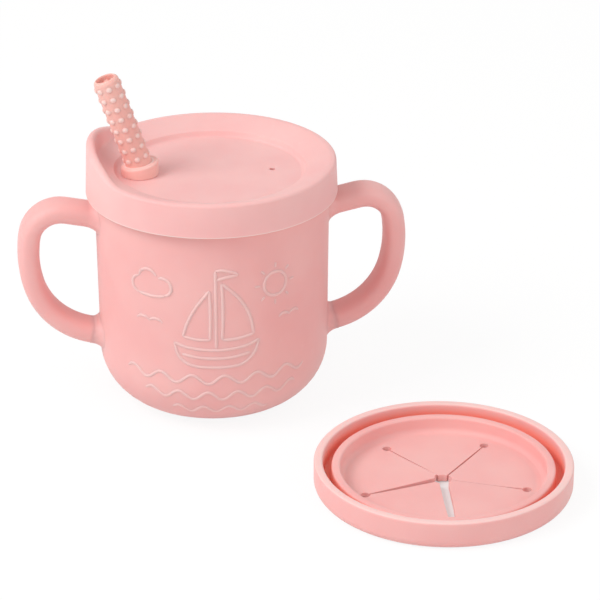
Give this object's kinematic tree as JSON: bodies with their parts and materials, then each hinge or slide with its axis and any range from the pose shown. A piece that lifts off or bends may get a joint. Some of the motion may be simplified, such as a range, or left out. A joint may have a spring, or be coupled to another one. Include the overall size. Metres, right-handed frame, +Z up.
{
  "type": "toddler snack cup",
  "caption": "Soft silicone cup with two loop handles, a straw lid with a raised drinking lip and bumped straw, and a separate snack lid with slit flaps.",
  "frame": {"origin": "middle of the cup's flat base, on the surface that the set stands on", "axes": "+X through the right handle, -Y towards the front of the cup, +Z up"},
  "size_m": [0.17, 0.1624, 0.114],
  "materials": {
    "cup_silicone": "soft matte moulded silicone, blush pink",
    "lid_silicone": "soft matte moulded silicone, blush pink, slightly paler",
    "straw_silicone": "soft matte moulded silicone, blush pink, slightly deeper",
    "snack_silicone": "soft matte moulded silicone, blush pink"
  },
  "bodies": {
    "cup": {"cup": "cup_silicone"},
    "straw_lid": {"straw_lid": "lid_silicone"},
    "straw": {"straw": "straw_silicone"},
    "snack_lid": {"snack_lid": "snack_silicone"},
    "flap_1": {"flap_1": "snack_silicone"},
    "flap_2": {"flap_2": "snack_silicone"},
    "flap_3": {"flap_3": "snack_silicone"},
    "flap_4": {"flap_4": "snack_silicone"},
    "flap_5": {"flap_5": "snack_silicone"}
  },
  "joints": [
    {"name": "straw_lid_lift", "type": "slide", "parent": "cup", "child": "straw_lid", "axis": [0, 0, 1], "range_m": [0, 0.09]},
    {"name": "straw_pull", "type": "slide", "parent": "straw_lid", "child": "straw", "axis": [0, 0, 1], "range_m": [0, 0.085]},
    {"name": "snack_lid_lift", "type": "slide", "parent": "cup", "child": "snack_lid", "axis": [0, 0, 1], "range_m": [0, 0.1]},
    {"name": "flap_1_bend", "type": "hinge", "parent": "snack_lid", "child": "flap_1", "pos_m": [0.06566, -0.05794, 0.0011], "axis": [-0.9974, 0.0715, 0], "range_deg": [-50, 50], "stiffness_Nm_per_rad": 0.006},
    {"name": "flap_2_bend", "type": "hinge", "parent": "snack_lid", "child": "flap_2", "pos_m": [0.04386, -0.07151, 0.0011], "axis": [-0.3762, -0.9265, 0], "range_deg": [-50, 50], "stiffness_Nm_per_rad": 0.006},
    {"name": "flap_3_bend", "type": "hinge", "parent": "snack_lid", "child": "flap_3", "pos_m": [0.05003, -0.09643, 0.0011], "axis": [0.7649, -0.6441, 0], "range_deg": [-50, 50], "stiffness_Nm_per_rad": 0.006},
    {"name": "flap_4_bend", "type": "hinge", "parent": "snack_lid", "child": "flap_4", "pos_m": [0.07564, -0.09827, 0.0011], "axis": [0.849, 0.5284, 0], "range_deg": [-50, 50], "stiffness_Nm_per_rad": 0.006},
    {"name": "flap_5_bend", "type": "hinge", "parent": "snack_lid", "child": "flap_5", "pos_m": [0.08531, -0.07448, 0.0011], "axis": [-0.2402, 0.9707, 0], "range_deg": [-50, 50], "stiffness_Nm_per_rad": 0.006}
  ]
}
